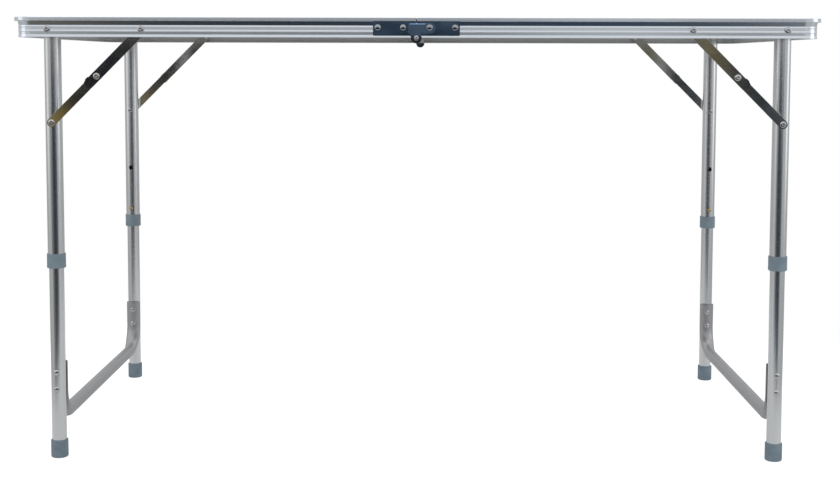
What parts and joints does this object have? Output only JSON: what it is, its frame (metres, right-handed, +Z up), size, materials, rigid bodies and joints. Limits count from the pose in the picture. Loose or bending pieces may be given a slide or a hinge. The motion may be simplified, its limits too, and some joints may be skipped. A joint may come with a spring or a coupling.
{
  "type": "folding table",
  "caption": "Aluminium folding table that halves like a case: hinged top, telescopic legs on folding braces, cross tubes between the feet, and locking centre hinges.",
  "frame": {"origin": "on the floor, under the middle of the open top", "axes": "+X along the length, -Y the front long side, +Z up"},
  "size_m": [1.2, 0.602, 0.67],
  "materials": {
    "rail": "satin anodised",
    "tube": "satin drawn tube",
    "panel": "smooth pale laminate on board",
    "hinge_steel": "dark bright plating",
    "rivet": "bright zinc",
    "brace_steel": "bright plated strip",
    "grey_blue_plastic": "moulded satin",
    "button_brass": "satin"
  },
  "bodies": {
    "left_top": {"front_hinge_left_knuckle": "hinge_steel", "front_hinge_left_leaf": "hinge_steel", "front_hinge_pin": "rivet", "left_edge_frame": "rail", "left_front_brace_frame_rivet": "rivet", "left_front_leg_pivot": "rivet", "left_mid_rail": "rail", "left_panel": "panel", "left_rear_brace_frame_rivet": "rivet", "left_rear_leg_pivot": "rivet", "rear_hinge_left_knuckle": "hinge_steel", "rear_hinge_left_leaf": "hinge_steel", "rear_hinge_pin": "rivet"},
    "right_top": {"front_hinge_right_knuckle": "hinge_steel", "front_hinge_right_leaf": "hinge_steel", "rear_hinge_right_knuckle": "hinge_steel", "rear_hinge_right_leaf": "hinge_steel", "right_edge_frame": "rail", "right_front_brace_frame_rivet": "rivet", "right_front_leg_pivot": "rivet", "right_mid_rail": "rail", "right_panel": "panel", "right_rear_brace_frame_rivet": "rivet", "right_rear_leg_pivot": "rivet"},
    "left_lower_legs": {"left_cross_tube": "tube", "left_front_foot": "grey_blue_plastic", "left_front_lower_tube": "tube", "left_rear_foot": "grey_blue_plastic", "left_rear_lower_tube": "tube"},
    "left_leg_frame": {"left_front_brace_leg_rivet": "rivet", "left_front_collar": "grey_blue_plastic", "left_front_upper_tube": "tube", "left_rear_brace_leg_rivet": "rivet", "left_rear_collar": "grey_blue_plastic", "left_rear_upper_tube": "tube"},
    "left_front_button": {"left_front_button_clip": "button_brass"},
    "left_lower_links": {"left_front_lower_link": "brace_steel", "left_rear_lower_link": "brace_steel"},
    "left_upper_links": {"left_front_upper_link": "brace_steel", "left_rear_upper_link": "brace_steel"},
    "left_rear_button": {"left_rear_button_clip": "button_brass"},
    "right_lower_legs": {"right_cross_tube": "tube", "right_front_foot": "grey_blue_plastic", "right_front_lower_tube": "tube", "right_rear_foot": "grey_blue_plastic", "right_rear_lower_tube": "tube"},
    "right_leg_frame": {"right_front_brace_leg_rivet": "rivet", "right_front_collar": "grey_blue_plastic", "right_front_upper_tube": "tube", "right_rear_brace_leg_rivet": "rivet", "right_rear_collar": "grey_blue_plastic", "right_rear_upper_tube": "tube"},
    "right_front_button": {"right_front_button_clip": "button_brass"},
    "right_lower_links": {"right_front_lower_link": "brace_steel", "right_rear_lower_link": "brace_steel"},
    "right_upper_links": {"right_front_upper_link": "brace_steel", "right_rear_upper_link": "brace_steel"},
    "right_rear_button": {"right_rear_button_clip": "button_brass"}
  },
  "joints": [
    {"name": "table_fold", "type": "hinge", "parent": "left_top", "child": "right_top", "pos_m": [0, 0, 0.6397], "axis": [0, 1, 0], "range_deg": [0, 75]},
    {"name": "left_leg_fold", "type": "hinge", "parent": "left_top", "child": "left_leg_frame", "pos_m": [-0.546, 0, 0.652], "axis": [0, -1, 0], "range_deg": [0, 86]},
    {"name": "left_leg_slide", "type": "slide", "parent": "left_leg_frame", "child": "left_lower_legs", "axis": [0, 0, 1], "range_m": [0, 0.14], "deforming": ["left_front_button_clip", "left_rear_button_clip"]},
    {"name": "left_upper_link_turn", "type": "hinge", "parent": "left_top", "child": "left_upper_links", "pos_m": [-0.407, 0, 0.652], "axis": [0, 1, 0], "range_deg": [0, 44.67]},
    {"name": "left_lower_link_turn", "type": "hinge", "parent": "left_leg_frame", "child": "left_lower_links", "pos_m": [-0.546, 0, 0.513], "axis": [0, -1, 0], "range_deg": [0, 44.67]},
    {"name": "left_front_button_press", "type": "slide", "parent": "left_lower_legs", "child": "left_front_button", "axis": [0, -1, 0], "range_m": [0, 0.0032], "stiffness_N_per_m": 600},
    {"name": "left_rear_button_press", "type": "slide", "parent": "left_lower_legs", "child": "left_rear_button", "axis": [0, 1, 0], "range_m": [0, 0.0032], "stiffness_N_per_m": 600},
    {"name": "right_leg_fold", "type": "hinge", "parent": "right_top", "child": "right_leg_frame", "pos_m": [0.546, 0, 0.652], "axis": [0, 1, 0], "range_deg": [0, 86]},
    {"name": "right_leg_slide", "type": "slide", "parent": "right_leg_frame", "child": "right_lower_legs", "axis": [0, 0, 1], "range_m": [0, 0.14], "deforming": ["right_front_button_clip", "right_rear_button_clip"]},
    {"name": "right_upper_link_turn", "type": "hinge", "parent": "right_top", "child": "right_upper_links", "pos_m": [0.407, 0, 0.652], "axis": [0, -1, 0], "range_deg": [0, 44.67]},
    {"name": "right_lower_link_turn", "type": "hinge", "parent": "right_leg_frame", "child": "right_lower_links", "pos_m": [0.546, 0, 0.513], "axis": [0, 1, 0], "range_deg": [0, 44.67]},
    {"name": "right_front_button_press", "type": "slide", "parent": "right_lower_legs", "child": "right_front_button", "axis": [0, -1, 0], "range_m": [0, 0.0032], "stiffness_N_per_m": 600},
    {"name": "right_rear_button_press", "type": "slide", "parent": "right_lower_legs", "child": "right_rear_button", "axis": [0, 1, 0], "range_m": [0, 0.0032], "stiffness_N_per_m": 600}
  ],
  "couplings": [
    {"joint": "left_upper_link_turn", "follows": "left_leg_fold", "ratio": 0.51362},
    {"joint": "left_lower_link_turn", "follows": "left_leg_fold", "ratio": 0.51362},
    {"joint": "right_upper_link_turn", "follows": "right_leg_fold", "ratio": 0.51362},
    {"joint": "right_lower_link_turn", "follows": "right_leg_fold", "ratio": 0.51362}
  ]
}
